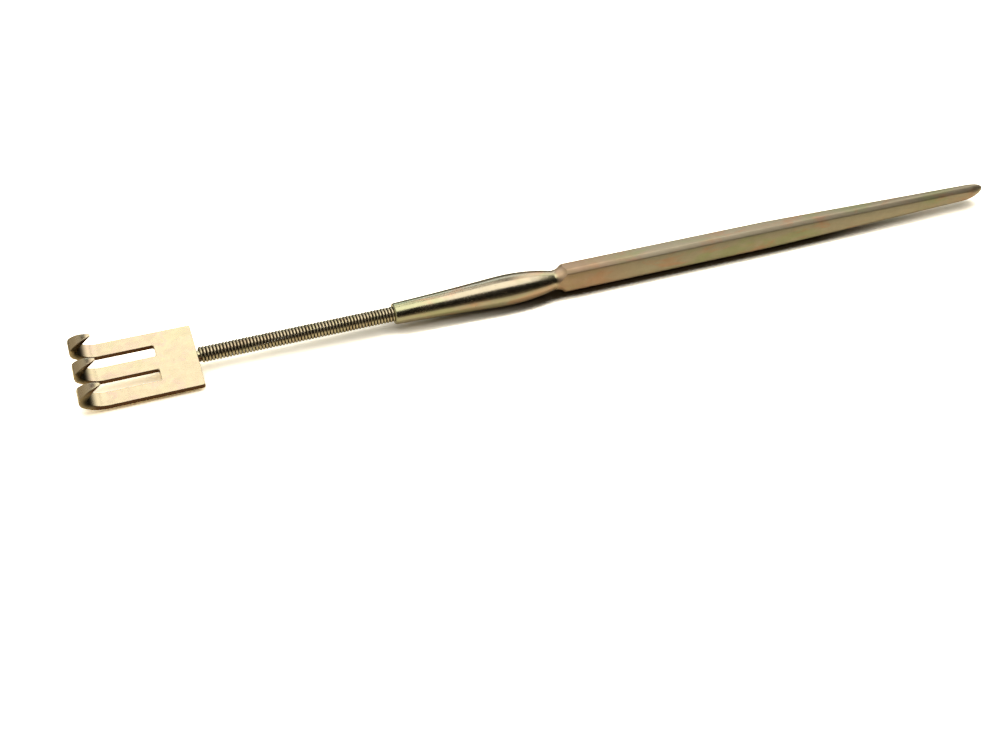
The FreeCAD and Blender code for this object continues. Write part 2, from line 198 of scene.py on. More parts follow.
# place along the axis and radius of each ring from the mouth to the nose
def turnedRings(size):
    rings = []
    mouth, belly, neck = size["mouthRadius"], size["bellyRadius"], size["neckRadius"]
    lip, cone, length = size["lipRound"], size["coneLength"], size["balusterLength"]
    for step in range(1, size["lipSteps"] + 1):
        turn = math.radians(90 * step / size["lipSteps"])
        rings.append((lip - lip * math.cos(turn), mouth - lip + lip * math.sin(turn)))
    for step in range(1, size["coneSteps"] + 1):
        share = step / size["coneSteps"]
        hollow = size["conePull"] * 4 * share * (1 - share)
        rings.append((lip + (cone - lip) * share, mouth + (belly - mouth) * share - hollow))
    slope = math.atan2(belly - mouth, cone)
    bend = size["neckRound"]
    reachX, reachR = length - cone, neck + bend - belly
    drop = reachX * math.sin(slope) - reachR * math.cos(slope)
    crown = (reachX ** 2 + reachR ** 2 - bend ** 2) / (2 * (bend + drop))
    crownX, crownR = cone + crown * math.sin(slope), belly - crown * math.cos(slope)
    meet = crown / (crown + bend)
    meetX = crownX + (length - crownX) * meet
    endTurn = math.asin((meetX - crownX) / crown)
    for step in range(1, size["crownSteps"] + 1):
        turn = -slope + (endTurn + slope) * step / size["crownSteps"]
        rings.append((crownX + crown * math.sin(turn), crownR + crown * math.cos(turn)))
    for step in range(1, size["neckSteps"] + 1):
        turn = endTurn * (1 - step / size["neckSteps"])
        rings.append((length - bend * math.sin(turn), neck + bend - bend * math.cos(turn)))
    flare = size["flareRound"]
    reach = math.acos(1 - (size["blankRadius"] - neck) / flare)
    for step in range(1, size["flareSteps"] + 1):
        turn = reach * step / size["flareSteps"]
        rings.append((length + flare * math.sin(turn), neck + flare * (1 - math.cos(turn))))
    rings.append((tailX - mouthX - size["noseLength"] - size["shoulder"], size["blankRadius"]))
    return rings


# all rings, each with its place, radius, slimness and lift
def blankRings(size):
    rings = [(ringX, ringR, 1.0, 0.0) for ringX, ringR in turnedRings(size)]
    whole = tailX - mouthX
    nose, dome = size["noseLength"], size["noseRadius"]
    for step in range(size["noseSteps"]):
        turn = math.radians(90 * step / size["noseSteps"])
        along = math.sin(turn)
        lift = size["noseLift"] * along ** 2
        rings.append((whole - nose + nose * along, dome * math.cos(turn), size["noseSlim"], lift))
    return rings


def makeBlank(size):
    deselectAll()
    start = size["mouthRadius"] - size["lipRound"]
    bpy.ops.mesh.primitive_circle_add(
        vertices=size["around"], radius=start, fill_type="NGON",
        location=(mouthX, 0, axisZ), rotation=(0, math.radians(-90), 0))
    blank = newPiece("handle_body")
    applyPlace(blank)
    editPiece(blank, "FACE")
    bpy.ops.mesh.select_all(action="SELECT")
    atX, atR, atSlim, atLift = 0.0, start, 1.0, 0.0
    for ringX, ringR, slim, lift in blankRings(size):
        extrudeBy(ringX - atX, lift - atLift)
        grow = ringR / atR
        bpy.ops.transform.resize(value=(1, grow * slim / atSlim, grow),
                                 center_override=(mouthX + ringX, 0, axisZ + lift))
        atX, atR, atSlim, atLift = ringX, ringR, slim, lift
    extrudeBy(tailX - mouthX - atX)
    bpy.ops.mesh.merge(type="CENTER")
    return blank


# the coil's blind bore, let into the mouth
def boreMouth(blank, size):
    editPiece(blank, "FACE")
    bpy.ops.mesh.select_all(action="SELECT")
    bpy.ops.mesh.normals_make_consistent(inside=False)
    pick(blank, "FACE", lambda place, normal: place.x < mouthX + tiny and normal.x < -facing)
    rim = size["mouthRadius"] - size["lipRound"] - size["boreRadius"]
    bpy.ops.mesh.inset(thickness=rim)
    extrudeBy(size["boreDepth"])
    bpy.ops.object.mode_set(mode="OBJECT")


# the milled stock: an eight-sided bar, with an oversize front that leaves the turned part alone
def makeStock(size):
    deselectAll()
    barStart = mouthX + size["balusterLength"]
    tailStart = tailX - size["tailLength"]
    bpy.ops.mesh.primitive_cube_add(size=1, location=((barStart + tailStart) / 2, 0, axisZ))
    stock = newPiece("stock")
    stock.scale = (tailStart - barStart, size["barWidth"], size["barHeight"])
    applyPlace(stock)
    editPiece(stock, "EDGE")
    pick(stock, "EDGE", lambda place, along: abs(along.x) > nearby)
    bpy.ops.mesh.bevel(offset=size["barBevel"], segments=1)
    drawTail(stock, size)
    growFront(stock, size, barStart)
    for place in size["stockCuts"]:
        bpy.ops.mesh.select_all(action="SELECT")
        bpy.ops.mesh.bisect(plane_co=(barStart + place, 0, 0), plane_no=(1, 0, 0))
    bpy.ops.object.mode_set(mode="OBJECT")
    softenEdges(stock, *size["edgeSoft"])
    return stock


# tapers the tail, with bevels that stay as wide as the bar's
def drawTail(stock, size):
    bpy.ops.mesh.select_mode(type="FACE")
    pick(stock, "FACE", lambda place, normal: normal.x > facing)
    extrudeBy(size["tailLength"])
    narrow = size["tailWidth"] / size["barWidth"]
    lower = size["tailHeight"] / size["barHeight"]
    end = (tailX, 0, axisZ)
    bpy.ops.transform.resize(value=(1, narrow, lower), center_override=end)
    bpy.ops.mesh.select_mode(type="VERT")
    half, bevel = size["barWidth"] / 2, size["barBevel"]
    top = size["tailHeight"] / 2
    flat = (size["tailWidth"] / 2 - bevel) / ((half - bevel) * narrow)
    pick(stock, "VERT", lambda place, n: place.x > tailX - mm
         and abs(abs(place.z - axisZ) - top) < tiny)
    bpy.ops.transform.resize(value=(1, flat, 1), center_override=end)
    side = size["tailWidth"] / 2
    tall = (top - bevel) / ((size["barHeight"] / 2 - bevel) * lower)
    pick(stock, "VERT", lambda place, n: place.x > tailX - mm
         and abs(abs(place.y) - side) < tiny)
    bpy.ops.transform.resize(value=(1, 1, tall), center_override=end)
    bpy.ops.mesh.select_mode(type="FACE")
    pick(stock, "FACE", lambda place, normal: normal.x > facing)
    extrudeBy(size["stockSpare"])


# the front end is widened and carried back over the turned part
def growFront(stock, size, barStart):
    pick(stock, "FACE", lambda place, normal: normal.x < -facing)
    extrudeBy(0)
    grow = size["stockFront"]
    bpy.ops.transform.resize(value=(1, grow, grow), center_override=(barStart, 0, axisZ))
    extrudeBy(-size["balusterLength"] - size["stockSpare"])


def makeHandle(size):
    blank = makeBlank(size)
    boreMouth(blank, size)
    stock = makeStock(size)
    addModifier(blank, "BOOLEAN", object=stock, operation="INTERSECT", solver="EXACT")
    bpy.data.objects.remove(stock, do_unlink=True)
    editPiece(blank, "VERT")
    bpy.ops.mesh.select_all(action="SELECT")
    bpy.ops.mesh.remove_doubles(threshold=size["weld"])
    bpy.ops.mesh.normals_make_consistent(inside=False)
    bpy.ops.object.mode_set(mode="OBJECT")
    shadeByAngle(blank, size["smoothBelow"])
    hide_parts("handle")
    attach(blank, "grip")
    return blank


# coil: one round wire wound close, from the rake's tang into the handle's bore

coil = {
    "wireRadius": 0.25 * mm,
    "windingRadius": 1.0 * mm,
    "pitch": 0.512 * mm,
    "wireSides": 12,
    "turnSteps": 36,
    "turns": 69,
    "smoothBelow": 40,
    "gapShade": (0.12 * mm, 0.245 * mm),   # painted shade between the turns: full this far out from the winding line, none that far out
}


def makeCoil(size):
    deselectAll()
    startX = coilLow.x + size["wireRadius"]
    bpy.ops.mesh.primitive_circle_add(
        vertices=size["wireSides"], radius=size["wireRadius"],
        location=(startX, 0, axisZ - size["windingRadius"]), rotation=(math.radians(90), 0, 0))
    wire = newPiece("coil_wire")
    applyPlace(wire)
    wire.data.transform(Matrix.Translation((0, 0, -axisZ)))
    addModifier(wire, "SCREW", axis="X", angle=math.radians(360), screw_offset=size["pitch"],
                iterations=size["turns"], steps=size["turnSteps"], render_steps=size["turnSteps"],
                use_merge_vertices=False)
    wire.data.transform(Matrix.Translation((0, 0, axisZ)))
    editPiece(wire, "EDGE")
    bpy.ops.mesh.select_non_manifold(extend=False, use_wire=False, use_multi_face=False,
                                     use_non_contiguous=False, use_verts=False)
    bpy.ops.mesh.edge_face_add()
    bpy.ops.mesh.select_all(action="SELECT")
    bpy.ops.mesh.normals_make_consistent(inside=False)
    bpy.ops.object.mode_set(mode="OBJECT")
    # painted shade: the wire darkens away from its outer crest, where it turns in towards the next turns
    # and the core
    shadeFull, shadeNone = size["gapShade"]
    gapShade = wire.data.attributes.new("gapShade", "FLOAT", "POINT")
    for vert in wire.data.vertices:
        out = math.hypot(vert.co.y, vert.co.z - axisZ) - size["windingRadius"]
        gapShade.data[vert.index].value = min(1, max(0, (shadeNone - out) / (shadeNone - shadeFull)))
    shadeByAngle(wire, size["smoothBelow"])
    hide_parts("coil_spring")
    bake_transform(wire)
    return wire


# rake: slotted plate, three prongs curled up to blunt claws, and the tang inside the coil

rake = {
    "width": 12.1 * mm,
    "thickness": 0.82 * mm,
    "corner": 0.3 * mm,
    "roll": 16.0,
    "web": 5.9 * mm,
    "prong": 8.05 * mm,
    "slot": 2.2 * mm,
    "slotCorner": 0.35 * mm,
    "rise": (4.3 * mm, 45.0, 6),       # radius, angle and steps of each arc of a claw
    "curl": (0.95 * mm, 88.0, 12),
    "point": (4.6 * mm, 38.0, 8),
    "curlNarrow": 0.12,         # share of the narrowing that the curl takes
    "narrowing": (0.6, 0.4),    # shares of the rest that run evenly, and faster to the tip
    "thinning": (0.7, 0.3),
    "heel": 1.1 * mm,
    "tipWidth": 0.46 * mm,
    "tipThickness": 0.15 * mm,
    "tangRadius": 0.73 * mm,
    "tangLength": 4.0 * mm,
    "tangEase": 0.1 * mm,
    "tangSides": 32,
    "cornerSteps": 5,
    "smoothBelow": 25,
    "wallLean": (0.25, 0.75),   # how far a face leans on the plate to be plate or sawn edge
    "edgeSoft": (0.07 * mm, 3, 35),
    "normalWeight": 60,
    "fromMouth": 31.0 * mm,     # free length of the shank
}


# how wide and how thick a claw is at a share of one of its arcs
def clawSection(size, prongWidth, arc, share):
    if arc == "rise":
        return prongWidth, size["thickness"] + (size["heel"] - size["thickness"]) * share
    if arc == "curl":
        return prongWidth - size["curlNarrow"] * (prongWidth - size["tipWidth"]) * share ** 2, size["heel"]
    first = prongWidth - size["curlNarrow"] * (prongWidth - size["tipWidth"])
    even, late = size["narrowing"]
    wide = first + (size["tipWidth"] - first) * (even * share + late * share ** 2)
    even, late = size["thinning"]
    thick = size["heel"] + (size["tipThickness"] - size["heel"]) * (even * share + late * share ** 2)
    return wide, thick


def makeRake(size):
    deselectAll()
    plateX = mouthX - size["fromMouth"]
    webX = plateX - size["web"]
    half = size["width"] / 2
    prongWidth = (size["width"] - 2 * size["slot"]) / 3
    spacing = prongWidth + size["slot"]
    bpy.ops.mesh.primitive_cube_add(size=1, location=((plateX + webX) / 2, 0, axisZ))
    plate = newPiece("rake_body")
    plate.scale = (size["web"], size["width"], size["thickness"])
    applyPlace(plate)
    editPiece(plate, "FACE")
    for side in (-1, 1):
        for edge in (-1, 1):
            bpy.ops.mesh.select_all(action="SELECT")
            bpy.ops.mesh.bisect(plane_co=(0, side * (spacing + edge * size["slot"]) / 2, 0),
                                plane_no=(0, 1, 0))
    for number in (-1, 0, 1):
        middle = number * spacing
        pick(plate, "FACE", lambda place, n: n.x < -facing and abs(place.y - middle) < prongWidth / 2)
        extrudeBy(-size["prong"])
        curlClaw(size, prongWidth, middle, webX - size["prong"])
    bpy.ops.mesh.select_mode(type="EDGE")
    pick(plate, "EDGE", lambda place, along: abs(along.z) > size["thickness"] / 2 and abs(along.x) < tiny
         and abs(place.x - webX) < tiny and abs(place.y) < half - nearby)
    bpy.ops.mesh.bevel(offset=size["slotCorner"], segments=size["cornerSteps"])
    pick(plate, "EDGE", lambda place, along: abs(along.z) > size["thickness"] / 2 and abs(along.x) < tiny
         and abs(place.x - plateX) < tiny and abs(place.y) > half - nearby)
    bpy.ops.mesh.bevel(offset=size["corner"], segments=size["cornerSteps"])
    bpy.ops.mesh.select_all(action="SELECT")
    bpy.ops.mesh.normals_make_consistent(inside=False)
    bpy.ops.object.mode_set(mode="OBJECT")
    softenEdges(plate, *size["edgeSoft"])
    tang = makeTang(size, plateX)
    selectOnly(plate)
    tang.select_set(True)
    bpy.ops.object.join()
    editPiece(plate, "VERT")
    bpy.ops.mesh.select_all(action="SELECT")
    bpy.ops.transform.rotate(value=-math.radians(size["roll"]), orient_axis="X",
                             center_override=(plateX, 0, axisZ))
    bpy.ops.object.mode_set(mode="OBJECT")
    shadeByAngle(plate, size["smoothBelow"])
    addModifier(plate, "WEIGHTED_NORMAL", keep_sharp=True, weight=size["normalWeight"])
    upward = plateNormal(size)
    # faces that lean away from the plate's face are sawn edges and get painted shade
    sawn, flat = size["wallLean"]
    wallShade = plate.data.attributes.new("wallShade", "FLOAT", "FACE")
    for face in plate.data.polygons:
        share = (flat - abs(face.normal.dot(upward))) / (flat - sawn)
        wallShade.data[face.index].value = min(1, max(0, share))
    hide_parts("rake_blade")
    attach(plate, "rake")
    return plate


def plateNormal(size):
    tilt = math.radians(size["roll"])
    return Vector((0, -math.sin(tilt), math.cos(tilt)))


# carries the selected end face along the three arcs, and narrows it as it goes
def curlClaw(size, prongWidth, middle, startX):
    atX, atZ, heading = startX, axisZ, 0.0
    wide, thick = prongWidth, size["thickness"]
    for arc in ("rise", "curl", "point"):
        radius, angle, steps = size[arc]
        turn = math.radians(angle) / steps
        for step in range(1, steps + 1):
            hub = Vector((atX + radius * math.sin(heading), middle, atZ + radius * math.cos(heading)))
            bpy.ops.mesh.spin(steps=1, angle=-turn, center=hub, axis=(0, 1, 0))
            heading += turn
            atX = hub.x - radius * math.sin(heading)
            atZ = hub.z - radius * math.cos(heading)
            nextWide, nextThick = clawSection(size, prongWidth, arc, step / steps)
            slim = nextThick / thick
            bpy.ops.transform.resize(value=(slim, nextWide / wide, slim),
                                     center_override=(atX, middle, atZ))
            wide, thick = nextWide, nextThick


def makeTang(size, plateX):
    deselectAll()
    bpy.ops.mesh.primitive_cylinder_add(
        vertices=size["tangSides"], radius=size["tangRadius"], depth=size["tangLength"],
        location=(plateX + size["tangLength"] / 2, 0, axisZ), rotation=(0, math.radians(90), 0))
    tang = newPiece("tang")
    applyPlace(tang)
    editPiece(tang, "FACE")
    pick(tang, "FACE", lambda place, normal: normal.x > facing)
    bpy.ops.mesh.inset(thickness=size["tangEase"])
    bpy.ops.transform.translate(value=(size["tangEase"], 0, 0))
    bpy.ops.object.mode_set(mode="OBJECT")
    return tang


# finishes: effects that several steels share are groups, with sizes in millimetres

def groupOf(name, inputs, outputs):
    group = bpy.data.node_groups.new(name, "ShaderNodeTree")
    for label, kind, value in inputs:
        socket = group.interface.new_socket(label, in_out="INPUT", socket_type=kind)
        socket.default_value = value
    for label, kind in outputs:
        group.interface.new_socket(label, in_out="OUTPUT", socket_type=kind)
    return group, group.nodes.new("NodeGroupInput"), group.nodes.new("NodeGroupOutput")


def addNode(tree, kind, **settings):
    node = tree.nodes.new(kind)
    for setting, value in settings.items():
        setattr(node, setting, value)
    return node


def noiseOf(tree, vector, scale, detail, rough, distort=0.0):
    noise = addNode(tree, "ShaderNodeTexNoise")
    noise.inputs["Scale"].default_value = scale
    noise.inputs["Detail"].default_value = detail
    noise.inputs["Roughness"].default_value = rough
    noise.inputs["Distortion"].default_value = distort
    tree.links.new(vector, noise.inputs["Vector"])
    return noise.outputs["Fac"]


def rangeOf(tree, value, low, high, toLow=0.0, toHigh=1.0):
    change = addNode(tree, "ShaderNodeMapRange", clamp=True, interpolation_type="SMOOTHSTEP")
    for label, number in (("From Min", low), ("From Max", high), ("To Min", toLow), ("To Max", toHigh)):
        change.inputs[label].default_value = number
    tree.links.new(value, change.inputs["Value"])
    return change.outputs["Result"]


def mathOf(tree, operation, first, second):
    node = addNode(tree, "ShaderNodeMath", operation=operation)
    for slot, value in enumerate((first, second)):
        if isinstance(value, (int, float)):
            node.inputs[slot].default_value = value
        else:
            tree.links.new(value, node.inputs[slot])
    return node.outputs[0]


def mixOf(tree, share, first, second):
    node = addNode(tree, "ShaderNodeMix", data_type="RGBA")
    for label, value in (("Factor", share), ("A", first), ("B", second)):
        if isinstance(value, tuple):
            node.inputs[label].default_value = (*value, 1)
        elif isinstance(value, (int, float)):
            node.inputs[label].default_value = value
        else:
            tree.links.new(value, node.inputs[label])
    return node.outputs["Result"]


def stretched(tree, vector, scale):
    mapping = addNode(tree, "ShaderNodeMapping")
    mapping.inputs["Scale"].default_value = scale
    tree.links.new(vector, mapping.inputs["Vector"])
    return mapping.outputs["Vector"]


# a noise is given as its scale, detail, roughness and distortion, with places in millimetres
buffMarks = {
    "fine": (9.0, 4.0, 0.65),
    "broad": (2.2, 3.0, 0.5),
    "shares": (0.6, 0.4),       # of the fine and the broad noise in the height
    "deeper": (0.60, 0.74),
}


# fine marks of a buffing wheel, as a height and as a mask of the deeper ones
def makeBuffMarks(size):
    group, given, made = groupOf(
        "buffMarks", [("Vector", "NodeSocketVector", (0, 0, 0))],
        [("Height", "NodeSocketFloat"), ("Marks", "NodeSocketFloat")])
    fine = noiseOf(group, given.outputs["Vector"], *size["fine"])
    broad = noiseOf(group, given.outputs["Vector"], *size["broad"])
    marks = rangeOf(group, fine, *size["deeper"])
    scratches = mathOf(group, "MULTIPLY", fine, size["shares"][0])
    waves = mathOf(group, "MULTIPLY", broad, size["shares"][1])
    height = mathOf(group, "ADD", scratches, waves)
    group.links.new(height, made.inputs["Height"])
    group.links.new(marks, made.inputs["Marks"])
    return group


temperTints = {
    "green": (0.33, 3.0, 0.55, 0.4),
    "greenFrom": (0.46, 0.66),
    "rose": (0.41, 4.0, 0.6, 0.6),
    "roseFrom": (0.48, 0.68),
    "aside": (31.0, 17.0, 5.0),     # so that the two tints don't share their patches
}


# slow drift between three temper colours
def makeTemper(size):
    group, given, made = groupOf(
        "temperTints",
        [("Vector", "NodeSocketVector", (0, 0, 0)),
         ("Steel", "NodeSocketColor", (0.5, 0.45, 0.32, 1)),
         ("Green", "NodeSocketColor", (0.46, 0.46, 0.27, 1)),
         ("Rose", "NodeSocketColor", (0.55, 0.40, 0.29, 1)),
         ("Amount", "NodeSocketFloat", 0.6)],
        [("Color", "NodeSocketColor")])
    vector = given.outputs["Vector"]
    green = rangeOf(group, noiseOf(group, vector, *size["green"]), *size["greenFrom"])
    shifted = addNode(group, "ShaderNodeVectorMath", operation="ADD")
    shifted.inputs[1].default_value = size["aside"]
    group.links.new(vector, shifted.inputs[0])
    rose = rangeOf(group, noiseOf(group, shifted.outputs[0], *size["rose"]), *size["roseFrom"])
    first = mixOf(group, mathOf(group, "MULTIPLY", green, given.outputs["Amount"]),
                  given.outputs["Steel"], given.outputs["Green"])
    second = mixOf(group, mathOf(group, "MULTIPLY", rose, given.outputs["Amount"]),
                   first, given.outputs["Rose"])
    group.links.new(second, made.inputs["Color"])
    return group


finePits = {
    "spot": (0.05, 0.16),       # where a pit ends, as a share of its cell
}


# tiny dark pits, here and there
def makePits(size):
    group, given, made = groupOf(
        "finePits",
        [("Vector", "NodeSocketVector", (0, 0, 0)), ("Scale", "NodeSocketFloat", 4.0),
         ("Share", "NodeSocketFloat", 0.25)],
        [("Mask", "NodeSocketFloat")])
    cells = addNode(group, "ShaderNodeTexVoronoi", feature="F1")
    cells.inputs["Randomness"].default_value = 1.0
    group.links.new(given.outputs["Vector"], cells.inputs["Vector"])
    group.links.new(given.outputs["Scale"], cells.inputs["Scale"])
    dots = rangeOf(group, cells.outputs["Distance"], *size["spot"], 1.0, 0.0)
    parts = addNode(group, "ShaderNodeSeparateColor")
    group.links.new(cells.outputs["Color"], parts.inputs["Color"])
    chosen = mathOf(group, "LESS_THAN", parts.outputs["Red"], given.outputs["Share"])
    group.links.new(mathOf(group, "MULTIPLY", dots, chosen), made.inputs["Mask"])
    return group


wipingMarks = {
    "cloud": (0.8, 5.0, 0.6, 0.3),
    "spread": (0.35, 0.68),
}


# cloudy wiping marks that only change the gloss
def makeWiping(size):
    group, given, made = groupOf(
        "wipingMarks",
        [("Vector", "NodeSocketVector", (0, 0, 0)), ("Low", "NodeSocketFloat", 0.2),
         ("High", "NodeSocketFloat", 0.3)],
        [("Roughness", "NodeSocketFloat")])
    cloud = noiseOf(group, given.outputs["Vector"], *size["cloud"])
    change = addNode(group, "ShaderNodeMapRange", clamp=True)
    change.inputs["From Min"].default_value = size["spread"][0]
    change.inputs["From Max"].default_value = size["spread"][1]
    group.links.new(cloud, change.inputs["Value"])
    group.links.new(given.outputs["Low"], change.inputs["To Min"])
    group.links.new(given.outputs["High"], change.inputs["To Max"])
    group.links.new(change.outputs["Result"], made.inputs["Roughness"])
    return group


def useGroup(tree, group, **values):
    node = addNode(tree, "ShaderNodeGroup", node_tree=group)
    for label, value in values.items():
        socket = node.inputs[label]
        if isinstance(value, tuple):
            socket.default_value = (*value, 1)
        elif isinstance(value, (int, float)):
            socket.default_value = value
        else:
            tree.links.new(value, socket)
    return node


# a metal with an empty tree apart from its shader, and the object's place in millimetres
def newSteel(name):
    material = bpy.data.materials.new(name)
    material.use_nodes = True
    tree = material.node_tree
    shader = tree.nodes["Principled BSDF"]
    shader.inputs["Metallic"].default_value = 1
    place = addNode(tree, "ShaderNodeTexCoord")
    return material, tree, shader, stretched(tree, place.outputs["Object"], (1000, 1000, 1000))


def partsOf(tree, place):
    parts = addNode(tree, "ShaderNodeSeparateXYZ")
    tree.links.new(place, parts.inputs[0])
    return parts.outputs


# depth is in millimetres
def bumpOf(tree, height, strength, depth, normal=None):
    bump = addNode(tree, "ShaderNodeBump")
    bump.inputs["Strength"].default_value = strength
    bump.inputs["Distance"].default_value = depth * mm
    tree.links.new(height, bump.inputs["Height"])
    if normal is not None:
        tree.links.new(normal, bump.inputs["Normal"])
    return bump.outputs["Normal"]


handleSteel = {
    "steel": (0.52, 0.46, 0.34),
    "green": (0.44, 0.46, 0.26),
    "rose": (0.60, 0.38, 0.25),
    "worn": (0.24, 0.20, 0.13),
    "pitted": (0.12, 0.09, 0.05),
    "warmth": (-17.0, -2.0, 0.6),       # towards the neck the bar turns rosy, over this stretch
    "barFrom": (-0.3, 0.6),             # from the neck on, in millimetres
    "barGloss": (0.48, 0.58),
    "turnedGloss": (0.20, 0.28),
    "alongBar": (0.12, 1.6, 1.6),
    "roundBaluster": (2.0, 0.12, 0.12),
    "tintStretch": (0.35, 1, 1),
    "tintAmount": 0.75,
    "pitScale": 3.6,
    "pitShare": 0.16,
    "pitStrength": 0.55,
    "markStrength": 0.22,
    "grain": (0.5, 0.012),              # strength and depth of each bump
    "uneven": (0.5, 0.05),
    "sunk": (0.6, 0.03),
    "waves": (0.7, 2.0, 0.4),
    "waveStretch": (0.3, 1, 1),
}


def makeHandleSteel(look, groups):
    material, tree, shader, place = newSteel("handleSteel")
    alongX = partsOf(tree, place)["X"]
    neckX = (mouthX + handle["balusterLength"]) / mm
    onBar = rangeOf(tree, alongX, neckX + look["barFrom"][0], neckX + look["barFrom"][1])
    lengthwise = useGroup(tree, groups["buff"], Vector=stretched(tree, place, look["alongBar"]))
    ringed = useGroup(tree, groups["buff"], Vector=stretched(tree, place, look["roundBaluster"]))
    temper = useGroup(tree, groups["temper"], Vector=stretched(tree, place, look["tintStretch"]),
                      Steel=look["steel"], Green=look["green"], Rose=look["rose"],
                      Amount=look["tintAmount"])
    pits = useGroup(tree, groups["pits"], Vector=place, Scale=look["pitScale"], Share=look["pitShare"])
    warmFull, warmFrom, warmMost = look["warmth"]
    neckHeat = rangeOf(tree, alongX, warmFull, warmFrom, warmMost, 0.0)
    warmth = mathOf(tree, "MULTIPLY", neckHeat, onBar)
    tinted = mixOf(tree, warmth, temper.outputs["Color"], look["rose"])
    scratched = mixOf(tree, onBar, ringed.outputs["Marks"], lengthwise.outputs["Marks"])
    marks = mathOf(tree, "MULTIPLY", scratched, look["markStrength"])
    worn = mixOf(tree, marks, tinted, look["worn"])
    pitMask = mathOf(tree, "MULTIPLY", pits.outputs["Mask"], look["pitStrength"])
    tree.links.new(mixOf(tree, pitMask, worn, look["pitted"]), shader.inputs["Base Color"])
    barLow, barHigh = look["barGloss"]
    turnedLow, turnedHigh = look["turnedGloss"]
    bar = useGroup(tree, groups["wiping"], Vector=place, Low=barLow, High=barHigh)
    turned = useGroup(tree, groups["wiping"], Vector=place, Low=turnedLow, High=turnedHigh)
    gloss = mixOf(tree, onBar, turned.outputs["Roughness"], bar.outputs["Roughness"])
    tree.links.new(gloss, shader.inputs["Roughness"])
    height = mixOf(tree, onBar, ringed.outputs["Height"], lengthwise.outputs["Height"])
    grain = bumpOf(tree, height, *look["grain"])
    waves = noiseOf(tree, stretched(tree, place, look["waveStretch"]), *look["waves"])
    uneven = bumpOf(tree, waves, *look["uneven"], grain)
    sunk = mathOf(tree, "SUBTRACT", 1.0, pits.outputs["Mask"])
    tree.links.new(bumpOf(tree, sunk, *look["sunk"], uneven), shader.inputs["Normal"])
    return material


coilSteel = {
    "steel": (0.61, 0.53, 0.37),
    "green": (0.50, 0.46, 0.28),
    "rose": (0.50, 0.39, 0.26),
    "worn": (0.18, 0.14, 0.09),
    # colour of the painted shade between the turns
    "gapShade": (0.055, 0.036, 0.016),
    "gloss": (0.18, 0.30),
    "alongWire": (2.4, 0.5, 0.5),
    "tintAmount": 0.8,
    "markStrength": 0.4,
    "grain": (0.2, 0.003),
}


def makeCoilSteel(look, groups):
    material, tree, shader, place = newSteel("coilSteel")
    temper = useGroup(tree, groups["temper"], Vector=place, Steel=look["steel"], Green=look["green"],
                      Rose=look["rose"], Amount=look["tintAmount"])
    drawn = useGroup(tree, groups["buff"], Vector=stretched(tree, place, look["alongWire"]))
    marks = mathOf(tree, "MULTIPLY", drawn.outputs["Marks"], look["markStrength"])
    worn = mixOf(tree, marks, temper.outputs["Color"], look["worn"])
    # painted shade between the turns, read from the wire's attribute
    depth = addNode(tree, "ShaderNodeAttribute", attribute_name="gapShade")
    gapShaded = mixOf(tree, depth.outputs["Fac"], worn, look["gapShade"])
    tree.links.new(gapShaded, shader.inputs["Base Color"])
    low, high = look["gloss"]
    wiping = useGroup(tree, groups["wiping"], Vector=place, Low=low, High=high)
    tree.links.new(wiping.outputs["Roughness"], shader.inputs["Roughness"])
    tree.links.new(bumpOf(tree, drawn.outputs["Height"], *look["grain"]), shader.inputs["Normal"])
    return material


rakeSteel = {
    "steel": (0.68, 0.58, 0.40),
    "green": (0.66, 0.60, 0.39),
    "rose": (0.68, 0.53, 0.41),
    "wallShade": (0.13, 0.062, 0.028),       # painted shade on the sawn edges, which face the shadowed table under the plate
    # painted shade on the curled claws, which turn away from the lamp
    "claw": (0.54, 0.42, 0.25),
    "clawFrom": (-3.2, -1.4),           # from the end of the straight prong, in millimetres
    "creaseShade": (0.02, 0.017, 0.008),     # painted shade deep inside each hook
    "creaseReach": (0.45, 1.7, 0.97),   # full, none, and how strong it is
    "worn": (0.34, 0.27, 0.17),
    "pitted": (0.18, 0.14, 0.08),
    "gloss": (0.22, 0.30),
    "across": (1.3, 0.2, 0.6),
    "tintAmount": 0.9,
    "pitScale": 4.5,
    "pitShare": 0.035,
    "pitStrength": 0.35,
    "markStrength": 0.05,
    "grain": (0.1, 0.003),
    "uneven": (0.25, 0.05),
    "waves": (0.5, 2.0, 0.4),
}


# how near a place is to the middle of the hooks' curl, in millimetres, where the painted shade sits
def creaseDistance(tree, place, alongX, prongEnd):
    upward = plateNormal(rake)
    height = addNode(tree, "ShaderNodeVectorMath", operation="DOT_PRODUCT")
    tree.links.new(place, height.inputs[0])
    height.inputs[1].default_value = upward
    risen, bent = rake["rise"][0] / mm, math.radians(rake["rise"][1])
    inner = rake["curl"][0] / mm
    hubX = prongEnd - (risen - inner) * math.sin(bent)
    hubZ = axisZ / mm * upward.z + risen - (risen - inner) * math.cos(bent)
    aside = mathOf(tree, "ADD", alongX, -hubX)
    over = mathOf(tree, "ADD", height.outputs["Value"], -hubZ)
    asideSquare = mathOf(tree, "MULTIPLY", aside, aside)
    overSquare = mathOf(tree, "MULTIPLY", over, over)
    return mathOf(tree, "POWER", mathOf(tree, "ADD", asideSquare, overSquare), 0.5)


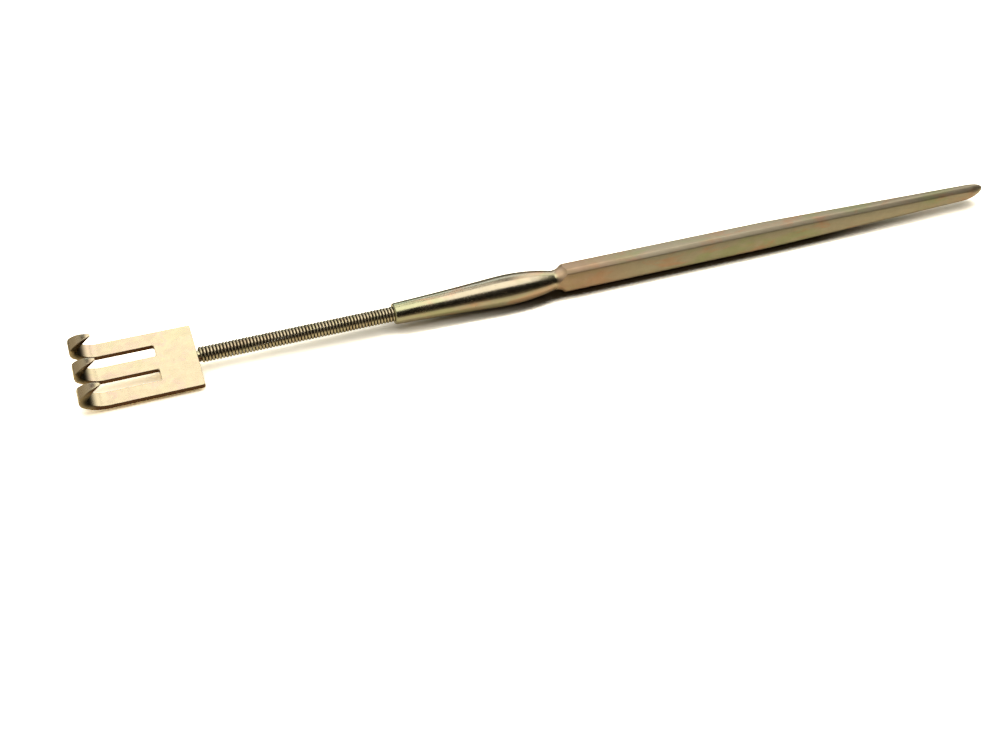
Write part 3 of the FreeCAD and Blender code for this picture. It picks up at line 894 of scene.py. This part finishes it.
def makeRakeSteel(look, groups):
    material, tree, shader, place = newSteel("rakeSteel")
    temper = useGroup(tree, groups["temper"], Vector=place, Steel=look["steel"], Green=look["green"],
                      Rose=look["rose"], Amount=look["tintAmount"])
    across = useGroup(tree, groups["buff"], Vector=stretched(tree, place, look["across"]))
    pits = useGroup(tree, groups["pits"], Vector=place, Scale=look["pitScale"], Share=look["pitShare"])
    marks = mathOf(tree, "MULTIPLY", across.outputs["Marks"], look["markStrength"])
    worn = mixOf(tree, marks, temper.outputs["Color"], look["worn"])
    pitMask = mathOf(tree, "MULTIPLY", pits.outputs["Mask"], look["pitStrength"])
    pitted = mixOf(tree, pitMask, worn, look["pitted"])
    # painted shade on the sawn edges
    wallShade = addNode(tree, "ShaderNodeAttribute", attribute_name="wallShade")
    alongX = partsOf(tree, place)["X"]
    prongEnd = (mouthX - rake["fromMouth"] - rake["web"] - rake["prong"]) / mm
    # painted shade in the crease of each hook
    full, none, strength = look["creaseReach"]
    creaseShade = rangeOf(tree, creaseDistance(tree, place, alongX, prongEnd), full, none, strength, 0.0)
    # painted shade: the claws darken from where they curl up
    clawFull, clawStart = look["clawFrom"]
    onClaw = rangeOf(tree, alongX, prongEnd + clawFull, prongEnd + clawStart, 1.0, 0.0)
    sawn = mixOf(tree, wallShade.outputs["Fac"], pitted, look["wallShade"])
    curled = mixOf(tree, onClaw, sawn, look["claw"])
    tree.links.new(mixOf(tree, creaseShade, curled, look["creaseShade"]), shader.inputs["Base Color"])
    low, high = look["gloss"]
    wiping = useGroup(tree, groups["wiping"], Vector=place, Low=low, High=high)
    tree.links.new(wiping.outputs["Roughness"], shader.inputs["Roughness"])
    grain = bumpOf(tree, across.outputs["Height"], *look["grain"])
    uneven = bumpOf(tree, noiseOf(tree, place, *look["waves"]), *look["uneven"], grain)
    tree.links.new(uneven, shader.inputs["Normal"])
    return material


def dress(piece, material):
    piece.data.materials.clear()
    piece.data.materials.append(material)


# table, lamps and camera

studio = {
    "azimuth": -21.775,
    "elevation": 36.29,
    "target": (-16.0 * mm, 0, 2.15 * mm),
    "distance": 188.425 * mm,
    "aside": 13.327 * mm,
    "below": 16.912 * mm,
    "lens": 40.182,
    "sensor": 36,
    "clipStart": 0.005,
    "tableSize": 6,
    "tableLit": (0.78, 0.76, 0.70),
    "tableSeen": (3.1, 3.02, 2.80),     # towards the camera, so that it comes out white
    "tableInSteel": (1.20, 1.12, 0.86),
    "tableFront": (0.10, 0.085, 0.06),  # painted shade: in the steel the table darkens in front of the object
    "tableFrontFade": (-0.017, -0.003),
    "tableBack": (0.30, 0.28, 0.22),    # and behind it
    "tableBackFade": (0.004, 0.030),
    "tableUnder": (0.05, 0.038, 0.024),
    "contact": (2.5 * mm, 0.66, 0.93),  # reach of the contact shadow, and where it starts and ends
    "contactSamples": 8,
    "contactRake": (-0.086, -0.020, 0.92),  # it is weaker towards the rake, which stands clear
    "contactTail": (0.030, 0.062, 0.35),    # and towards the tail, which is thinner
    "contactInSteel": 0.6,              # and weaker as the steel sees it
    "front": (0.010, 0.008, 0.005),
    "low": (0.14, 0.13, 0.10),
    "lowFade": (0.44, 0.60),
    "behind": (1.60, 1.80, 1.84),
    "behindFade": (0.5, 0.8),
    "above": (0.06, 0.05, 0.04),
    "aboveFade": (0.62, 0.85),
    "left": (0.50, 0.47, 0.41),
    "leftFade": (-0.52, -0.30),
    "beside": (1.60, 1.52, 1.36),
    "besideFade": ((0.33, 0.42), (0.05, 0.30), (0.26, 0.70)),   # along each axis
    "boxPlace": (0.01, -0.105, 0.35),
    "boxSize": (0.48, 0.32),
    "boxWatts": 0.92,
    "boxColour": (1.0, 0.96, 0.88),
    "rakeBoxPlace": (-0.05, 0.17, 0.35),
    "rakeBoxSize": (0.20, 0.16),
    "rakeBoxWatts": 0.172,
}


# 0 close under the object, where the contact shadow is, and 1 away from it
def contactMask(tree, look, alongX):
    reach, starts, ends = look["contact"]
    near = addNode(tree, "ShaderNodeAmbientOcclusion", samples=look["contactSamples"])
    near.inputs["Distance"].default_value = reach
    clear = rangeOf(tree, near.outputs["AO"], starts, ends)
    rakeX, shankX, rakeMost = look["contactRake"]
    rakeLift = rangeOf(tree, alongX, rakeX, shankX, rakeMost, 0.0)
    barX, tailEndX, tailMost = look["contactTail"]
    tailLift = rangeOf(tree, alongX, barX, tailEndX, 0.0, tailMost)
    return mathOf(tree, "MAXIMUM", clear, mathOf(tree, "MAXIMUM", rakeLift, tailLift))


# the steel, the camera and all other light see the table in a colour each
def makeTable(look):
    deselectAll()
    bpy.ops.mesh.primitive_plane_add(size=look["tableSize"], location=(0, 0, tableZ))
    table = newPiece("table_top")
    material = bpy.data.materials.new("paleTable")
    material.use_nodes = True
    tree = material.node_tree
    tree.nodes.clear()
    output = addNode(tree, "ShaderNodeOutputMaterial")
    diffuse = addNode(tree, "ShaderNodeBsdfDiffuse")
    path = addNode(tree, "ShaderNodeLightPath")
    axes = partsOf(tree, addNode(tree, "ShaderNodeNewGeometry").outputs["Position"])
    fromFront = rangeOf(tree, axes["Y"], *look["tableFrontFade"])
    inSteel = mixOf(tree, fromFront, look["tableFront"], look["tableInSteel"])
    toBack = rangeOf(tree, axes["Y"], *look["tableBackFade"])
    inSteel = mixOf(tree, toBack, inSteel, look["tableBack"])
    clear = contactMask(tree, look, axes["X"])
    half = mathOf(tree, "MAXIMUM", clear, look["contactInSteel"])
    inSteel = mixOf(tree, half, look["tableUnder"], inSteel)
    seen = mixOf(tree, clear, look["tableUnder"], look["tableSeen"])
    lit = mixOf(tree, path.outputs["Is Glossy Ray"], look["tableLit"], inSteel)
    shown = mixOf(tree, path.outputs["Is Camera Ray"], lit, seen)
    tree.links.new(shown, diffuse.inputs["Color"])
    tree.links.new(diffuse.outputs[0], output.inputs["Surface"])
    table.data.materials.append(material)


# a white backdrop for the camera, and for the steel a room that is dark in front, low and overhead,
# light behind and bright on the right
def makeWorld(look):
    world = bpy.data.worlds.new("studioWorld")
    bpy.context.scene.world = world
    world.use_nodes = True
    tree = world.node_tree
    axes = partsOf(tree, addNode(tree, "ShaderNodeTexCoord").outputs["Generated"])
    raised = rangeOf(tree, axes["Z"], *look["lowFade"])
    rear = mixOf(tree, raised, look["low"], look["behind"])
    behind = rangeOf(tree, axes["Y"], *look["behindFade"])
    around = mixOf(tree, behind, look["front"], rear)
    above = rangeOf(tree, axes["Z"], *look["aboveFade"])
    room = mixOf(tree, above, around, look["above"])
    left = rangeOf(tree, axes["X"], *look["leftFade"], 1.0, 0.0)
    room = mixOf(tree, left, room, look["left"])
    fades = [rangeOf(tree, axes[axis], *fade) for axis, fade in zip("XYZ", look["besideFade"])]
    beside = mathOf(tree, "MULTIPLY", mathOf(tree, "MULTIPLY", fades[0], fades[2]), fades[1])
    room = mixOf(tree, beside, room, look["beside"])
    path = addNode(tree, "ShaderNodeLightPath")
    shown = mixOf(tree, path.outputs["Is Camera Ray"], room, (1.0, 1.0, 1.0))
    tree.links.new(shown, tree.nodes["Background"].inputs["Color"])


# hangs level over the table and shines straight down
def addSoftbox(name, place, dimensions, watts, colour):
    light = bpy.data.lights.new(name, "AREA")
    light.shape = "RECTANGLE"
    light.size, light.size_y = dimensions
    light.energy = watts
    light.color = colour
    lamp = bpy.data.objects.new(name, light)
    bpy.context.scene.collection.objects.link(lamp)
    lamp.location = place


def makeCamera(size):
    around, up = math.radians(size["azimuth"]), math.radians(size["elevation"])
    back = Vector((math.sin(around) * math.cos(up), -math.cos(around) * math.cos(up), math.sin(up)))
    right = (-back).cross(Vector((0, 0, 1))).normalized()
    above = right.cross(-back)
    place = Vector(size["target"]) + back * size["distance"]
    place = place - right * size["aside"] - above * size["below"]
    camera = bpy.data.cameras.new("camera")
    camera.lens = size["lens"]
    camera.sensor_width = size["sensor"]
    camera.clip_start = size["clipStart"]
    holder = bpy.data.objects.new("camera", camera)
    bpy.context.scene.collection.objects.link(holder)
    turned = Matrix((right, above, back)).transposed().to_4x4()
    holder.matrix_world = Matrix.Translation(place) @ turned
    bpy.context.scene.camera = holder


bpy.context.scene.view_settings.view_transform = "Standard"
print("modelling the handle")
handleBody = makeHandle(handle)
print("winding the coil")
coilWire = makeCoil(coil)
print("curling the rake")
rakeBody = makeRake(rake)
print("mixing the steels")
groups = {
    "buff": makeBuffMarks(buffMarks),
    "temper": makeTemper(temperTints),
    "pits": makePits(finePits),
    "wiping": makeWiping(wipingMarks),
}
dress(handleBody, makeHandleSteel(handleSteel, groups))
dress(coilWire, makeCoilSteel(coilSteel, groups))
dress(rakeBody, makeRakeSteel(rakeSteel, groups))
print("setting up the studio")
makeTable(studio)
makeWorld(studio)
addSoftbox("overhead", studio["boxPlace"], studio["boxSize"], studio["boxWatts"], studio["boxColour"])
addSoftbox("overRake", studio["rakeBoxPlace"], studio["rakeBoxSize"], studio["rakeBoxWatts"],
           studio["boxColour"])
makeCamera(studio)
